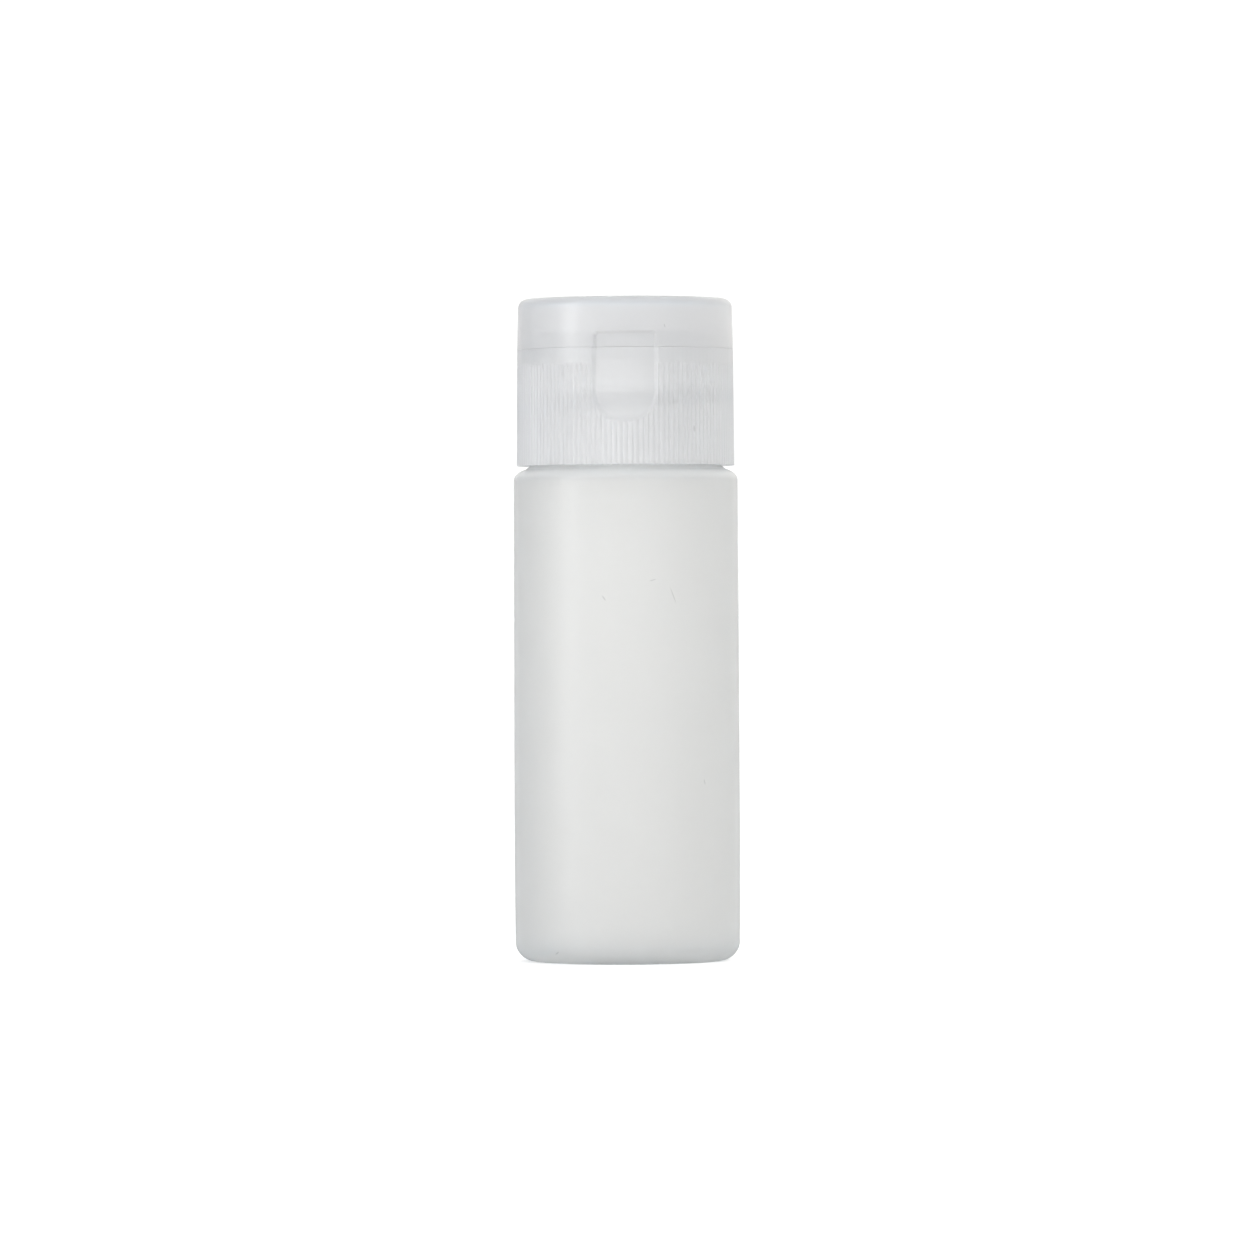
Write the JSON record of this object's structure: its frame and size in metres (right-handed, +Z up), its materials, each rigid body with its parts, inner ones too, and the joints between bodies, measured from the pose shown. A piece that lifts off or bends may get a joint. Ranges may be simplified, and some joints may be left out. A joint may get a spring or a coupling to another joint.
{
  "type": "squeeze bottle with flip-top cap",
  "caption": "Small round translucent squeeze bottle for paint, with a ribbed screw-on closure and a hinged flip-top lid over a nozzle.",
  "frame": {"origin": "centre of the bottle's base, on the surface it stands on", "axes": "+Z up along the bottle's axis, -Y the front with the thumb scoop, +Y the back with the hinge, +X to the right"},
  "size_m": [0.0282, 0.0282, 0.0826],
  "materials": {
    "bottle_plastic": "milky translucent polyethylene, satin",
    "closure_plastic": "milky translucent polypropylene, fine satin",
    "liner_foam": "white foamed polyethylene, matt"
  },
  "bodies": {
    "bottle": {"bottle": "bottle_plastic"},
    "liner": {"sealing_liner": "liner_foam"},
    "cap": {"cap_base": "closure_plastic", "hinge_strap_centre": "closure_plastic", "hinge_strap_left": "closure_plastic", "hinge_strap_right": "closure_plastic"},
    "lid": {"lid": "closure_plastic"}
  },
  "joints": [
    {"name": "cap_rise", "type": "slide", "parent": "bottle", "child": "liner", "axis": [0, 0, 1], "range_m": [0, 0.016]},
    {"name": "cap_turn", "type": "hinge", "parent": "liner", "child": "cap", "pos_m": [0, 0, 0.0619], "axis": [0, 0, 1], "range_deg": [0, 1800]},
    {"name": "lid_flip", "type": "hinge", "parent": "cap", "child": "lid", "pos_m": [0, 0.01313, 0.07637], "axis": [-1, 0, 0], "range_deg": [0, 180], "deforming": ["hinge_strap_centre", "hinge_strap_left", "hinge_strap_right"]}
  ],
  "couplings": [
    {"joint": "cap_rise", "follows": "cap_turn", "m_per_rad": 0.00050532}
  ]
}
